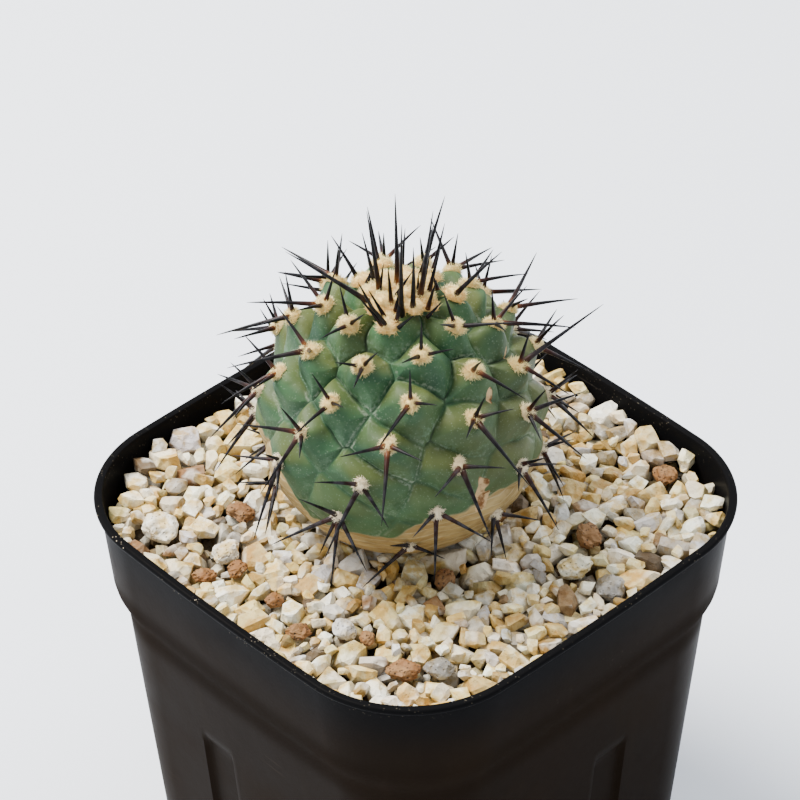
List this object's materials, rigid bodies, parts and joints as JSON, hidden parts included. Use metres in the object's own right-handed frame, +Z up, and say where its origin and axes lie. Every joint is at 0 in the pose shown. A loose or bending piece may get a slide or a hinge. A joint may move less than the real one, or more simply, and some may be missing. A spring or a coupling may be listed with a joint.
{
  "type": "potted round cactus",
  "caption": "Round tuberculate cactus with woolly areoles and black spines, in gravel and potting mix in a tapering square plastic pot with rounded corners.",
  "frame": {"origin": "centre of the pot's flat underside, on the surface that it stands on", "axes": "+Z up, +X and +Y along the square pot's sides; the pot's corner between +X and -Y is the one nearest the viewer in the usual view"},
  "size_m": [0.0908, 0.0908, 0.1429],
  "materials": {
    "pot_plastic": "satin black moulded plastic with light scuffs and dust",
    "potting_mix": "dark gritty potting mix",
    "gravel": "loose cream, white and yellow mineral grains",
    "brown_stone": "matt porous brown stone",
    "white_stone": "matt porous white stone",
    "cactus_skin": "waxy green skin, corky tan at the base",
    "areole_wool": "short dense cream wool",
    "spines": "smooth black spines, browner at the root"
  },
  "bodies": {
    "root": {"pot": "pot_plastic", "potting_mix": "potting_mix", "gravel": "gravel", "cactus_body": "cactus_skin", "crown": "areole_wool", "spine_cluster_06": "spines", "spine_cluster_07": "spines", "spine_cluster_08": "spines", "spine_cluster_09": "spines", "spine_cluster_10": "spines", "spine_cluster_11": "spines", "spine_cluster_12": "spines", "spine_cluster_13": "spines", "spine_cluster_14": "spines", "spine_cluster_15": "spines", "spine_cluster_16": "spines", "spine_cluster_17": "spines", "spine_cluster_18": "spines", "spine_cluster_19": "spines", "spine_cluster_20": "spines", "spine_cluster_21": "spines", "spine_cluster_22": "spines", "spine_cluster_23": "spines", "spine_cluster_24": "spines", "spine_cluster_25": "spines", "spine_cluster_26": "spines", "spine_cluster_27": "spines", "spine_cluster_28": "spines", "spine_cluster_29": "spines", "spine_cluster_30": "spines", "spine_cluster_31": "spines", "spine_cluster_32": "spines", "spine_cluster_33": "spines", "spine_cluster_34": "spines", "spine_cluster_35": "spines", "spine_cluster_36": "spines", "spine_cluster_37": "spines", "spine_cluster_38": "spines", "spine_cluster_39": "spines", "spine_cluster_40": "spines", "spine_cluster_41": "spines", "spine_cluster_42": "spines", "spine_cluster_43": "spines", "spine_cluster_44": "spines", "spine_cluster_45": "spines", "spine_cluster_46": "spines", "spine_cluster_47": "spines", "spine_cluster_48": "spines", "spine_cluster_49": "spines", "spine_cluster_50": "spines", "spine_cluster_51": "spines", "spine_cluster_52": "spines", "spine_cluster_53": "spines", "spine_cluster_54": "spines", "spine_cluster_55": "spines", "spine_cluster_56": "spines", "spine_cluster_57": "spines", "brown_stone_front": "brown_stone", "brown_stone_right": "brown_stone", "white_stone_left": "white_stone"}
  },
  "joints": []
}
